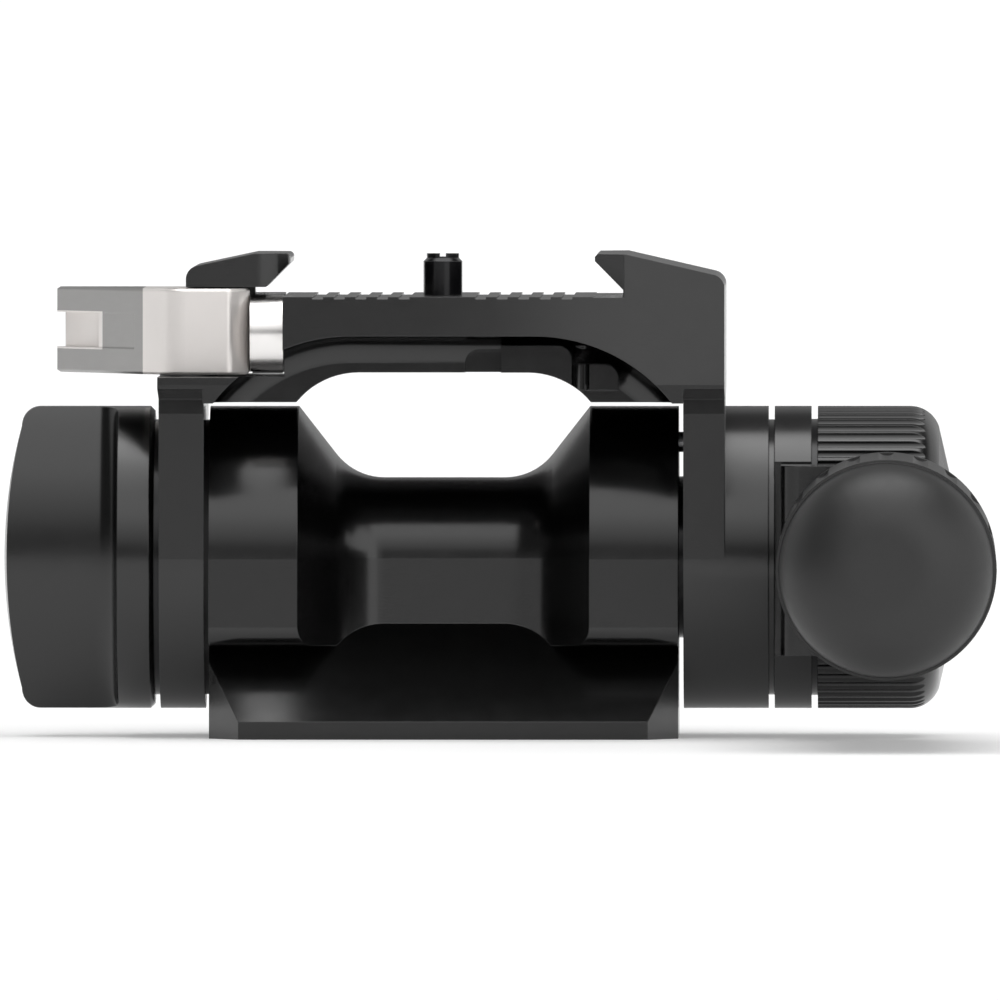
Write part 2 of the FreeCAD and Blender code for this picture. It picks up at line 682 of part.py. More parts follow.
def keel_form(body):
    """Keel under the bridge: coves beside it, two ribs with a flute between them, and a pocket."""
    def cove(name, place):
        sketch = sketch_on(body, name, "YZ", (0, "arch_level - arch_radius", place))
        for side in ("", "-"):
            y_face = side + "(belly_depth / 2)"
            y_in = side + "(belly_depth / 2 - cove_radius / 4)"
            y_out = side + "(belly_depth / 2 + cove_radius)"
            low = "(arch_radius - cove_radius)"
            high = "(arch_radius + cove_radius / 4)"
            bend = "-cove_radius" if side == "" else "cove_radius"
            add_outline(sketch, [(y_in, high), (y_in, low), (y_face, low, bend),
                                 (y_out, "arch_radius"), (y_out, high)])
        return sketch
    sweep = "acos((platform_under - arch_height + arch_radius) / arch_radius) + 1 deg"
    pad(body, cove("cove_middle", "0"), "2 * arch_flat", both_ways=True)
    spin(body, cove("cove_right", "arch_flat"), angle=sweep)
    spin(body, cove("cove_left", "-arch_flat"), angle=sweep, reverse=True)
    trim = outline(body, "cove_trim", "XZ", [
        ("-" + left_arm_in, "under_level - arch_radius"), (right_arm_in, "under_level - arch_radius"),
        (right_arm_in, "under_level"), ("-" + left_arm_in, "under_level")])
    add_outline(trim, [
        ("-" + left_arm_out, "ledge_level"), ("-shoulder_place", "ledge_level"),
        ("-shoulder_place", "floor_level"), ("-" + left_arm_out, "floor_level")])
    cut(body, trim, "platform_depth", both_ways=True)
    foot = "(axis_height + rib_foot)"
    low = "(axis_height + rib_low)"
    high = "(axis_height + rib_high)"
    ribs = outline(body, "keel_ribs", "XZ", [
        ("rib_start", foot), ("rib_end", foot), ("rib_end", low + " - rib_corner", "rib_corner"),
        ("rib_end - rib_corner", low), ("rib_bend", low),
        ("rib_bend", high + " - rib_corner", "rib_corner"), ("rib_bend - rib_corner", high),
        ("rib_start", high)], (0, 0, "belly_depth / 2 - rib_proud"))
    pad(body, ribs, "2 * rib_proud")
    front = "(belly_depth / 2 + rib_proud)"
    flute = circle_on(body, "rib_flute_cut", "XY", ("rib_bend + rib_flute", "-" + front),
                      "rib_flute", (0, 0, high))
    cut(body, flute, "rib_high - platform_under + 1")
    belly = outline(body, "belly_arch", "XZ", arch_corners("belly_level", "belly_flat", "belly_radius"))
    cut(body, belly, "platform_depth + 2", both_ways=True)
    top = "(axis_height + keel_pocket_high)"
    low = "(under_level - 1)"
    pocket = outline(body, "keel_pocket", "XZ", [
        ("keel_pocket_start", low), ("rib_start", low), ("rib_start", top),
        ("keel_pocket_start + rib_corner", top, "rib_corner"),
        ("keel_pocket_start", top + " - rib_corner")], (0, 0, front + " + cove_radius"))
    cut(body, pocket, "rib_proud + cove_radius + keel_pocket_depth")


def lead_ins(body):
    """Slanted corners at both ends of the fixed jaw, where a plate slides in."""
    sketch = sketch_on(body, "jaw_lead_ins", "XY", (0, 0, "jaw_level"))
    inner = "((floor_land + jaw_tip) / 2)"
    for side in ("", "-"):
        y_end = side + "(platform_depth / 2)"
        y_out = side + "(platform_depth / 2 + 1)"
        y_in = side + "(platform_depth / 2 - jaw_lead_in)"
        add_outline(sketch, [(inner, y_out), ("jaw_tip + jaw_lead_in", y_out),
                             ("jaw_tip + jaw_lead_in", y_end), ("jaw_tip", y_in), (inner, y_in)])
    cut(body, sketch, "jaw_height + floor_relief")


def stop_slot(body):
    """Curved slot in the right arm that lets the stop pin pass from one limit to the other."""
    half = "(stop_pin_radius + stop_slot_side)"
    sketch = sketch_on(body, "stop_slot", "XZ", (0, "axis_height", 0))
    low = "(stop_pin_circle - %s)" % half
    high = "(stop_pin_circle + %s)" % half
    deep = "(%s + stop_slot_depth)" % right_arm_in
    add_outline(sketch, [(right_arm_in, low), (deep, low), (deep, high), (right_arm_in, high)])
    margin = value("asin(%s / stop_pin_circle)" % half)
    middle = (value("tilt_down") - value("tilt_up")) / 2
    sketch.AttachmentOffset = FreeCAD.Placement(
        sketch.AttachmentOffset.Base, FreeCAD.Rotation(FreeCAD.Vector(1, 0, 0), middle))
    spin(body, sketch, "H_Axis", "tilt_down + tilt_up + %s" % (2 * margin), both_ways=True, cutting=True)


def clamp_bores(body):
    """Bores for the guide pins, the springs, the centre pin and the lever screw."""
    depth = "(guide_reach + 1)"
    guides = sketch_on(body, "guide_bores", "YZ", (0, 0, "-(shoulder_place - %s)" % depth))
    slide = "(guide_radius + running_fit)"
    add_circle(guides, ("-guide_front", "clamp_level"), slide)
    add_circle(guides, ("guide_back", "clamp_level"), slide)
    cut(body, guides, depth)
    cut(body, circle_on(body, "spring_bore", "YZ", ("(guide_back - guide_front) / 2", "clamp_level"),
                        "spring_bore_radius", (0, 0, "-(shoulder_place - spring_depth)")), "spring_depth")
    chamber = "(pin_collar_radius + running_fit)"
    cut(body, circle_on(body, "pin_chamber", "XY", ("pin_across", "0"), chamber,
                        (0, 0, "floor_level - pin_cap_wall")),
        "floor_level - pin_cap_wall - belly_level + 1")
    cut(body, circle_on(body, "pin_hole", "XY", ("pin_across", "0"), "pin_radius + running_fit",
                        (0, 0, "floor_level")), "pin_cap_wall")
    cut(body, circle_on(body, "lever_thread", "XY", lever_pin, "lever_thread_radius",
                        (0, 0, "ledge_level")), "lever_thread_length")


def floor_grooves(body):
    """Fine grooves across the clamp floor, a set each side of the pin."""
    for side, name in (("", "right"), ("-", "left")):
        near_x = side + "(groove_first - groove_width / 2)"
        far_x = side + "(groove_first + groove_width / 2)"
        sketch = outline(body, name + "_groove", "XY", [
            (near_x, "-platform_depth / 2 - 1"), (far_x, "-platform_depth / 2 - 1"),
            (far_x, "platform_depth / 2 + 1"), (near_x, "platform_depth / 2 + 1")],
            (0, 0, "floor_level"))
        groove = cut(body, sketch, "groove_depth")
        pattern = body.newObject("PartDesign::LinearPattern", name + "_grooves")
        pattern.Originals = [groove]
        pattern.Direction = (sketch, ["H_Axis"])
        pattern.Reversed = side == "-"
        pattern.Occurrences = GROOVES_EACH_SIDE
        pattern.setExpression("Length", bind("groove_pitch * %d" % (GROOVES_EACH_SIDE - 1)))
        body.Tip = pattern
        doc.recompute()


def make_drag_group():
    """Two stacks of plates, one turning with the shaft and one with the platform, and the cover."""
    outer = []
    inner = []
    for place in range(5):
        start = "(%s + %d * drag_plate)" % (drag_floor, place)
        if place % 2 == 0:
            radii = ("drag_plate_hole", "drag_radius")
        else:
            radii = ("shaft_drive_radius", "drag_radius - drag_plate_gap")
        disc = rod("plate_disc_%d" % place, "x", on_axis, start, "drag_plate", radii[1])
        hole = rod("plate_hole_%d" % place, "x", on_axis, start, "drag_plate", radii[0])
        plate = doc.addObject("Part::Cut", "drag_plate_%d" % place)
        plate.Base = disc
        plate.Tool = hole
        (outer if place % 2 == 0 else inner).append(plate)
    cover_in = "(%s - cover_thickness)" % housing_out
    hub_end = "(%s + pivot_hub_length)" % ring_in
    stub_end = "(%s + stub_length)" % hub_end
    cover = turned("drag_cover", "x", on_axis, [
        (cover_in, "0"), (stub_end, "0"), (stub_end, "stub_radius"), (hub_end, "stub_radius"),
        (hub_end, "pivot_hub_radius"), (ring_in, "pivot_hub_radius"), (ring_in, "land_radius"),
        (housing_out, "land_radius"), (housing_out, "drag_radius"), (cover_in, "drag_radius")])
    return [group("drag_plates_outer", outer), group("drag_plates_inner", inner), cover]


def make_moving_jaw():
    """Sliding jaw: a slab with the clamping groove over a carriage that runs on the guide pins."""
    body = new_body("moving_jaw")
    corner_z = "(jaw_level - (moving_outer - moving_flat_end) * tan(moving_slope))"
    bend = "(jaw_corner * tan((90 - moving_slope) / 2))"
    depth = "moving_front + moving_back"
    slab = outline(body, "slab_profile", "XZ", [
        ("-moving_outer", "slab_level"), ("-moving_root", "slab_level"),
        ("-moving_tip", "slab_level + moving_root - moving_tip"),
        ("-moving_tip", "jaw_level - moving_nose_edge", "moving_nose_edge"),
        ("-(moving_tip + moving_nose_edge)", "jaw_level"), ("-moving_flat_end", "jaw_level"),
        ("-(moving_outer - %s * cos(moving_slope))" % bend,
         "%s + %s * sin(moving_slope)" % (corner_z, bend), "jaw_corner"),
        ("-moving_outer", "%s - %s" % (corner_z, bend))], (0, 0, "moving_front"))
    pad(body, slab, depth, reverse=True)
    noses = sketch_on(body, "slab_noses", "XY", (0, 0, "jaw_level"))
    out = "-(moving_tip - 1)"
    turn = "-(moving_tip + moving_nose)"
    for side, end, radius in (("-", "moving_front", "-moving_nose"), ("", "moving_back", "moving_nose")):
        y_in = "%s(%s - moving_nose)" % (side, end)
        y_out = "%s(%s + 1)" % (side, end)
        add_outline(noses, [(out, y_out), (out, y_in), ("-moving_tip", y_in, radius),
                            (turn, side + end), (turn, y_out)])
    cut(body, noses, "jaw_level - (slab_level + carriage_top_level) / 2")
    carriage = outline(body, "carriage_plan", "XY", [
        ("-carriage_outer", "-carriage_front"), ("-" + carriage_in, "-carriage_front"),
        ("-" + carriage_in, "moving_back"), ("-carriage_outer", "moving_back")],
        (0, 0, "carriage_level"))
    pad(body, carriage, "carriage_top_level - carriage_level")
    block = outline(body, "block_plan", "XY", [
        ("-moving_outer", "block_front"), ("-carriage_outer", "block_front"),
        ("-carriage_outer", "moving_back"), ("-moving_outer", "moving_back")],
        (0, 0, "carriage_level"))
    pad(body, block, "slab_level - carriage_level")
    seats = sketch_on(body, "guide_seats", "YZ", (0, 0, "-" + carriage_in))
    add_circle(seats, ("-guide_front", "clamp_level"), "guide_radius")
    add_circle(seats, ("guide_back", "clamp_level"), "guide_radius")
    cut(body, seats, "guide_seat")
    cut(body, circle_on(body, "spring_seat", "YZ", ("(guide_back - guide_front) / 2", "clamp_level"),
                        "spring_bore_radius", (0, 0, "-" + carriage_in)), "guide_seat / 2")
    middle = "-(carriage_outer + %s) / 2" % carriage_in
    cut(body, circle_on(body, "dowel_seat", "XZ", (middle, "clamp_level"), "dowel_radius",
                        (0, 0, "carriage_front")), "dowel_seat")
    return body


def make_clamp_group():
    """Follower, its dowel, the guide pins and the return spring of the moving jaw."""
    body = new_body("cam_follower")
    head = circle_on(body, "follower_head", "YZ", ("-" + follower_front, "clamp_level"),
                     "follower_radius", (0, 0, "-" + follower_face))
    pad(body, head, "follower_length")
    low = "clamp_level - follower_radius - 1"
    high = "clamp_level + follower_radius + 1"
    flat = outline(body, "follower_flat", "YZ", [
        ("-carriage_front", low), ("0", low), ("0", high), ("-carriage_front", high)],
        (0, 0, "-(%s - follower_length)" % follower_face))
    cut(body, flat, "follower_length")
    middle = "-(carriage_outer + %s) / 2" % carriage_in
    cut(body, circle_on(body, "follower_dowel_hole", "XZ", (middle, "clamp_level"), "dowel_radius",
                        (0, 0, "carriage_front + dowel_seat")), "dowel_seat")
    dowel = rod("follower_dowel", "y", (middle, "0", "clamp_level"),
                "-(carriage_front + dowel_seat)", "2 * dowel_seat", "dowel_radius")
    dowel.Label = "follower_dowel"
    start = "-(%s + guide_seat)" % carriage_in
    length = "guide_seat + carriage_gap + guide_reach"
    pins = group("jaw_guide_pins", [
        rod("guide_pin_front", "x", ("0", "-guide_front", "clamp_level"), start, length, "guide_radius"),
        rod("guide_pin_back", "x", ("0", "guide_back", "clamp_level"), start, length, "guide_radius")])
    spring_start = "-(%s + guide_seat / 2)" % carriage_in
    spring_length = "guide_seat / 2 + carriage_gap + spring_depth"
    middle_y = "(guide_back - guide_front) / 2"
    outer = rod("jaw_spring_outer", "x", ("0", middle_y, "clamp_level"), spring_start,
                spring_length, "jaw_spring_radius")
    inner = rod("jaw_spring_inner", "x", ("0", middle_y, "clamp_level"), spring_start,
                spring_length, "jaw_spring_radius - 2 * jaw_spring_wire")
    spring = doc.addObject("Part::Cut", "jaw_spring")
    spring.Label = "jaw_spring"
    spring.Base = outer
    spring.Tool = inner
    return [body, dowel, pins, spring]


def make_lever_group():
    """Cam lever, its washer and its shoulder screw."""
    body = new_body("cam_lever")
    x_pin = "-pivot_across"
    y_pin = "-pivot_front"
    cam_end = "(cam_closed - cam_rise * pi / 4)"
    corner_x = "(%s + cam_rise) * cos(45)" % cam_end
    corner_y = "(cam_rise - %s) * sin(45)" % cam_end
    round_x = "(%s - cam_corner * cos(45))" % corner_x
    round_y = "(%s + cam_corner * sin(45))" % corner_y
    front_x = "(-sin(lever_slant))"
    front_y = "(-cos(lever_slant))"
    boss = "(%s * %s + %s * %s + cam_corner)" % (round_x, front_x, round_y, front_y)
    side_x = "(-sin(boss_side))"
    side_y = "(-cos(boss_side))"
    crease_y = "(%s + %s * %s + (crease_across - pivot_across + %s * %s) * tan(boss_side))" % (
        y_pin, boss, side_y, boss, side_x)
    flank = "(tip_back - %s) / (tip_across - crease_across)" % crease_y
    plan = outline(body, "lever_plan", "XY", [
        ("%s + cam_closed" % x_pin, "%s + cam_rise" % y_pin),
        ("%s + cam_closed" % x_pin, "-lever_flat"),
        ("-lever_inner", "tip_back"), ("-tip_across", "tip_back"),
        ("-crease_across", crease_y),
        ("%s + %s * %s" % (x_pin, boss, side_x), "%s + %s * %s" % (y_pin, boss, side_y), boss),
        ("%s + %s * %s" % (x_pin, boss, front_x), "%s + %s * %s" % (y_pin, boss, front_y)),
        ("%s + %s + cam_corner * %s" % (x_pin, round_x, front_x),
         "%s + %s + cam_corner * %s" % (y_pin, round_y, front_y), "cam_corner"),
        ("%s + %s" % (x_pin, corner_x), "%s + %s" % (y_pin, corner_y),
         "(cam_closed + %s) / 2" % cam_end)], (0, 0, "lever_level"))
    pad(body, plan, "lever_height")
    levels = (value("lever_level"), value("lever_top_level"))

    def rim(edge):
        return any(ends_where(edge, lambda p: near(p.z, level)) for level in levels)
    round_edges(body, "lever_edges", "lever_edge", rim, chamfer=True)
    scoop_y = "(%s + (tip_scoop_end - crease_across) * %s)" % (crease_y, flank)
    scoop = outline(body, "tip_scoop", "XY", [
        ("-tip_across + tip_slot_depth", "tip_back", "-tip_scoop_radius"),
        ("-tip_scoop_end", scoop_y), ("-tip_scoop_end - 1", scoop_y + " - 1"),
        ("-tip_across - 1", scoop_y + " - 1"), ("-tip_across - 1", "tip_back + 1"),
        ("-tip_across + tip_slot_depth", "tip_back + 1")], (0, 0, "lever_level + tip_slot_high"))
    cut(body, scoop, "tip_slot_high - tip_slot_low")

    def flank_point(across, depth):
        """A point beside the flank, at a distance across and a depth into the lever."""
        slant = "sqrt(1 + (%s) ^ 2)" % flank
        y_flank = "(%s + (%s - crease_across) * %s)" % (crease_y, across, flank)
        return ("-(%s) + (%s) * %s / %s" % (across, depth, flank, slant),
                "%s + (%s) / %s" % (y_flank, depth, slant))
    groove = outline(body, "tip_groove", "XY", [
        flank_point("lever_groove_end", "lever_groove_depth"), flank_point("lever_groove_end", "-1"),
        flank_point("tip_across + 1", "-1"), flank_point("tip_across + 1", "lever_groove_depth")],
        (0, 0, "lever_level + tip_slot_high"))
    cut(body, groove, "tip_slot_high - tip_slot_low")
    top = "lever_top_level"
    cut(body, circle_on(body, "lever_bore", "XY", lever_pin, "lever_pin_radius + running_fit",
                        (0, 0, top)), "lever_height")
    cut(body, circle_on(body, "lever_head_bore", "XY", lever_pin, "lever_head_radius + 2 * running_fit",
                        (0, 0, top)), "lever_head_depth + lever_head_height")
    head_top = "(%s - lever_head_depth)" % top
    head_low = "(%s - lever_head_height)" % head_top
    screw = turned("lever_screw", "z", (x_pin, y_pin, "0"), [
        ("ledge_level - lever_thread_length", "0"), (head_top, "0"),
        (head_top, "lever_head_radius"), (head_low, "lever_head_radius"),
        (head_low, "lever_pin_radius"), ("ledge_level", "lever_pin_radius"),
        ("ledge_level", "lever_thread_radius"),
        ("ledge_level - lever_thread_length", "lever_thread_radius")])
    washer_radius = "(lever_head_radius + lever_washer_rim)"
    washer = turned("lever_washer", "z", (x_pin, y_pin, "0"), [
        ("ledge_level", "lever_pin_radius"), ("lever_level", "lever_pin_radius"),
        ("lever_level", washer_radius), ("ledge_level", washer_radius)])
    return [body, screw, washer]


def make_pin_group():
    """Sprung centre pin with a screwdriver slot, its spring and its retainer."""
    collar_top = "(floor_level - pin_cap_wall)"
    collar_low = "(%s - pin_collar_height)" % collar_top
    crown_low = "(pin_level - pin_crown_height)"
    pin = turned("center_pin", "z", ("pin_across", "0", "0"), [
        (collar_low + " - pin_tail", "0"), ("pin_level", "0"), ("pin_level", "pin_crown_radius"),
        (crown_low, "pin_crown_radius"), (crown_low + " - pin_crown_slope", "pin_radius"),
        (collar_top, "pin_radius"), (collar_top, "pin_collar_radius"),
        (collar_low, "pin_collar_radius"), (collar_low, "pin_crown_radius"),
        (collar_low + " - pin_tail", "pin_crown_radius")])
    slot = outline(pin, "pin_slot", "XY", [
        ("pin_across - pin_slot_width / 2", "-pin_radius - 1"),
        ("pin_across + pin_slot_width / 2", "-pin_radius - 1"),
        ("pin_across + pin_slot_width / 2", "pin_radius + 1"),
        ("pin_across - pin_slot_width / 2", "pin_radius + 1")], (0, 0, "pin_level"))
    cut(pin, slot, "pin_slot_depth")
    chamber = "(pin_collar_radius + running_fit)"
    low = "(belly_level - retainer_drop)"
    high = "(%s + retainer_thickness)" % low
    retainer = turned("pin_retainer", "z", ("pin_across", "0", "0"), [
        (low, "0"), (high, "0"), (high, chamber), (low, chamber)])
    outside = "(pin_collar_radius - pin_spring_gap)"
    inside = "(%s - 2 * pin_spring_wire)" % outside
    spring = turned("pin_spring", "z", ("pin_across", "0", "0"), [
        (high, inside), (collar_low, inside), (collar_low, outside), (high, outside)])
    return [pin, retainer, spring]


def make_lock_group():
    """Tilt lock: a winged knob with a threaded insert, and the washer that it presses."""
    washer = turned("lock_washer", "x", on_axis, [
        ("-" + lock_face, "shaft_radius + running_fit"), ("-" + left_arm_out, "shaft_radius + running_fit"),
        ("-" + left_arm_out, "lock_washer_radius"), ("-" + lock_face, "lock_washer_radius")])
    body = new_body("tilt_lock_knob")
    end = "(%s + lock_knob_length)" % lock_face
    sag = "(lock_end_radius - sqrt(lock_end_radius ^ 2 - (hub_radius - lock_corner) ^ 2))"
    corner = "(%s - %s)" % (end, sag)
    bore = "insert_radius"
    bore_end = "(%s + lock_journal + lock_insert_length)" % lock_face
    flange = "(%s + insert_flange)" % lock_face
    profile = outline(body, "lock_profile", "XZ", [
        ("-" + lock_face, bore), ("-" + lock_face, "hub_radius - lock_edge"),
        ("-(%s + lock_edge)" % lock_face, "hub_radius"),
        ("-(%s - lock_corner)" % corner, "hub_radius", "lock_corner"),
        ("-" + corner, "hub_radius - lock_corner", "lock_end_radius"), ("-" + end, "0"),
        ("-" + bore_end, "0"), ("-" + bore_end, "insert_neck_radius"),
        ("-" + flange, "insert_neck_radius"), ("-" + flange, bore)], (0, "axis_height", 0))
    spin(body, profile, "H_Axis")
    wing = "(paddle_thickness / 2)"
    disc = "(%s + lock_disc_width)" % lock_face
    for side, name in (("", "back"), ("-", "front")):
        bend = "paddle_fillet" if side == "" else "-paddle_fillet"
        line = "%s(%s - paddle_crown)" % (side, wing)
        outside = side + "(hub_radius + 5 + paddle_crown - %s)" % wing
        sketch = outline(body, name + "_side_cut", "XY", [
            ("-(%s + 5)" % end, side + "paddle_crown"),
            ("-(%s + paddle_fillet)" % disc, side + "paddle_crown", bend),
            ("-" + disc, side + "(paddle_crown + paddle_fillet)"), ("-" + disc, outside),
            ("-(%s + 5)" % end, outside)], (0, line, "axis_height"))
        spin(body, sketch, angle="2 * asin(hub_radius / paddle_crown) + 20 deg", both_ways=True,
             cutting=True)
    journal = "(%s + lock_journal)" % lock_face
    insert = turned("lock_knob_insert", "x", on_axis, [
        ("-" + lock_face, "shaft_radius + 4 * running_fit"), ("-" + lock_face, bore),
        ("-" + flange, bore), ("-" + flange, "insert_neck_radius"),
        ("-" + bore_end, "insert_neck_radius"), ("-" + bore_end, "shaft_thread_radius + running_fit"),
        ("-" + journal, "shaft_thread_radius + running_fit"),
        ("-" + journal, "shaft_radius + 4 * running_fit")])
    return [washer, body, insert]


def make_handle_group():
    """Ring on the pivot hub, its screws, the arm, and the grip with its core and cap."""
    ring = turned("handle_ring", "x", on_axis, [
        (ring_in, "pivot_hub_radius + running_fit"), (ring_out, "pivot_hub_radius + running_fit"),
        (ring_out, "hub_radius"), (ring_in, "hub_radius")])
    low = "axis_height - seat_height / 2"
    high = "axis_height + seat_height / 2"
    seat = outline(ring, "handle_seat", "YZ", [
        ("-hub_radius - 1", low), ("-seat_place", low), ("-seat_place", high),
        ("-hub_radius - 1", high)], (0, 0, ring_out))
    cut(ring, seat, "ring_width")
    across = "(%s + ring_width / 2)" % ring_in
    holes = sketch_on(ring, "ring_screw_holes", "XZ", (0, 0, "seat_place"))
    seats = sketch_on(ring, "ring_screw_seats", "XZ", (0, 0, "seat_place - ring_screw_grip"))
    head_in = "-(seat_place - ring_screw_grip)"
    head_out = "-(seat_place - ring_screw_grip - ring_screw_head_height)"
    tail = "-(seat_place + ring_screw_reach)"
    screws = []
    for side, name in (("+", "upper"), ("-", "lower")):
        height = "axis_height %s ring_screw_place" % side
        add_circle(holes, (across, height), "ring_screw_radius")
        add_circle(seats, (across, height), "ring_screw_head + running_fit")
        screws.append(turned("ring_screw_" + name, "y", (across, "0", height), [
            (tail, "0"), (head_out, "0"), (head_out, "ring_screw_head"), (head_in, "ring_screw_head"),
            (head_in, "ring_screw_radius"), (tail, "ring_screw_radius")]))
    cut(ring, seats, "seat_place - ring_screw_grip - pivot_hub_radius / 2")
    cut(ring, holes, "ring_screw_grip")

    arm = new_body("handle_arm")
    left = "(%s + block_inset)" % ring_in
    right = "(handle_across + arm_right)"
    plan = outline(arm, "arm_plan", "XY", [
        (left, "-seat_place"), (left, "-(arm_front - arm_corner)", "arm_corner"),
        (left + " + arm_corner", "-arm_front"), (right + " - arm_corner", "-arm_front", "arm_corner"),
        (right, "-(arm_front - arm_corner)"), (right, "-(arm_back + arm_corner)", "arm_corner"),
        (right + " - arm_corner", "-arm_back"), (ring_out, "-arm_back"), (ring_out, "-seat_place")],
        (0, 0, "axis_height - block_height / 2"))
    pad(arm, plan, "block_height")
    spigot = circle_on(arm, "grip_spigot", "XZ", ("handle_across", "axis_height"), "spigot_radius",
                       (0, 0, "arm_front"))
    pad(arm, spigot, "spigot_length")
    threads = sketch_on(arm, "arm_screw_holes", "XZ", (0, 0, "seat_place + ring_screw_reach"))
    for side in ("+", "-"):
        add_circle(threads, (across, "axis_height %s ring_screw_place" % side), "ring_screw_radius")
    cut(arm, threads, "ring_screw_reach")

    line = ("handle_across", "0", "axis_height")
    core = turned("handle_core", "y", line, [
        ("-arm_front", "spigot_radius"), ("-arm_front", "core_radius"),
        ("-grip_end", "core_radius"), ("-grip_end", "spigot_radius")])
    grip_start = "(arm_front + grip_gap)"
    grip = turned("handle_grip", "y", line, [
        ("-" + grip_start, "core_radius"), ("-" + grip_start, "grip_radius"),
        ("-grip_end", "grip_radius"), ("-grip_end", "core_radius")])
    flute = circle_on(grip, "grip_flute", "XZ",
                      ("handle_across", "axis_height + grip_radius - flute_depth + flute_radius"),
                      "flute_radius", (0, 0, "grip_end - flute_margin"))
    first = cut(grip, flute, "grip_end - %s - 2 * flute_margin" % grip_start)
    ring_of(grip, first, "handle_grip_profile", "V_Axis", FLUTE_COUNT)
    tip = "(grip_end + cap_height)"
    rise = "(cap_height - cap_edge)"
    dome_radius = "(grip_radius - cap_rim)"
    dome = "((%s ^ 2 + (%s - cap_flat) ^ 2) / (2 * %s))" % (rise, dome_radius, rise)
    plug = "(spigot_radius - running_fit)"
    edge = "-(grip_end + cap_edge)"
    cap = turned("handle_cap", "y", line, [
        ("-(grip_end - cap_plug)", "0"), ("-(grip_end - cap_plug)", plug), ("-grip_end", plug),
        ("-grip_end", "grip_radius"), (edge, "grip_radius"), (edge, dome_radius, dome),
        ("-" + tip, "cap_flat"), ("-" + tip, "0")])
    return [ring, group("ring_screws", screws), arm, core, grip, cap]


def make_knob_group():
    """Ribbed knob that clamps the handle, its threaded insert and the washer under it."""
    washer = turned("clamp_washer", "x", on_axis, [
        (ring_out, "stub_radius + running_fit"), (knob_in, "stub_radius + running_fit"),
        (knob_in, "clamp_washer_radius"), (ring_out, "clamp_washer_radius")])
    body = new_body("handle_knob")
    end = "(%s + knob_length)" % knob_in
    insert_end = "(%s + knob_insert_length)" % knob_in
    start = "(%s + knob_shoulder_start)" % knob_in
    profile = outline(body, "knob_profile", "XZ", [
        (knob_in, "insert_radius"), (insert_end, "insert_radius"), (insert_end, "0"), (end, "0"),
        (end, "knob_end_radius"),
        (start + " + knob_shoulder * sin(knob_shoulder_turn)",
         "hub_radius - knob_shoulder * (1 - cos(knob_shoulder_turn))", "knob_shoulder"),
        (start, "hub_radius"), (knob_in, "hub_radius")], (0, "axis_height", 0))
    spin(body, profile, "H_Axis")
    groove_centre = "axis_height + hub_radius - rib_groove_depth + rib_groove_radius"
    groove = circle_on(body, "rib_groove", "YZ", ("0", groove_centre), "rib_groove_radius", (0, 0, end))
    first = cut(body, groove, "knob_length")
    ring_of(body, first, "knob_profile", "H_Axis", RIB_COUNT)
    insert = turned("handle_knob_insert", "x", on_axis, [
        (knob_in, "stub_radius + running_fit"), (insert_end, "stub_radius + running_fit"),
        (insert_end, "insert_radius"), (knob_in, "insert_radius")])
    return [washer, body, insert]


pieces = [make_base()]
pieces += make_shaft_group()
pieces.append(make_platform())
pieces += make_drag_group()
pieces.append(make_moving_jaw())
pieces += make_clamp_group()
pieces += make_lever_group()
pieces += make_pin_group()
pieces += make_lock_group()
pieces += make_handle_group()
pieces += make_knob_group()
doc.recompute()

for thing in doc.Objects:
    if "Invalid" in thing.State or "Error" in thing.State:
        raise RuntimeError("%s failed: %s" % (thing.Name, thing.State))
for piece in pieces:
    shape = piece.Shape
    if shape.isNull() or not shape.isValid():
        raise RuntimeError(piece.Label + " has no valid shape")
for piece in pieces:
    piece.Shape.exportStep("parts/%s.step" % piece.Label)
    print("%-20s solids %d volume %9.1f" % (piece.Label, len(piece.Shape.Solids), piece.Shape.Volume))
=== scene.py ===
import json
import math

import bmesh
import bpy
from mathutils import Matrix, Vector


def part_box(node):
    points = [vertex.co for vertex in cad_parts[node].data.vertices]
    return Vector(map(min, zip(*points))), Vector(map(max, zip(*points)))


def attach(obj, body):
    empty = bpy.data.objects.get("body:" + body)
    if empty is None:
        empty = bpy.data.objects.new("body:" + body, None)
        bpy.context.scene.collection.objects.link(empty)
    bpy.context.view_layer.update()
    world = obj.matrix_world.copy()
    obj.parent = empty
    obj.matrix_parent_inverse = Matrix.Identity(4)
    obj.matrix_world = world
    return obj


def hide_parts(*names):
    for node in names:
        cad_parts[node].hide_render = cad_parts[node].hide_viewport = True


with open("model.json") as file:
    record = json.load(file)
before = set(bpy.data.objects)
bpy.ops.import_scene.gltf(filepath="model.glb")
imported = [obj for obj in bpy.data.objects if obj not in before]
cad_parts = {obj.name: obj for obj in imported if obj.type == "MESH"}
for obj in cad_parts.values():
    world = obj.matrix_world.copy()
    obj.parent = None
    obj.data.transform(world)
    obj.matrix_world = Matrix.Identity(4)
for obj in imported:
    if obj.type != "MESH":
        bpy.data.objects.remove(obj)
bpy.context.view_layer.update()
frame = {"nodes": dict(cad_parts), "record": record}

nodes = frame["nodes"]
MM = 0.001

# Camera, in the photograph's frame of 1000 by 1000 pixels. A millimetre spans PIXELS_PER_MM in the plane
# Y = FRONT_PLANE. The lens is as long as the other views allow.
PHOTO_SIZE = 1000
PIXELS_PER_MM = 9.3
CENTRE_PIXEL_X = 443.3
FLOOR_PIXEL_Y = 737.0
FRONT_PLANE = -15.0 * MM
LENS = 1600.0
SENSOR = 36.0
AZIMUTH = math.radians(0.55)
ELEVATION = math.radians(0.85)
NEAREST_SEEN = 0.1
FARTHEST_SEEN = 100.0

# Sockets of a mix node that mixes colours
FIRST_COLOUR = 6
SECOND_COLOUR = 7
MIXED_COLOUR = 2

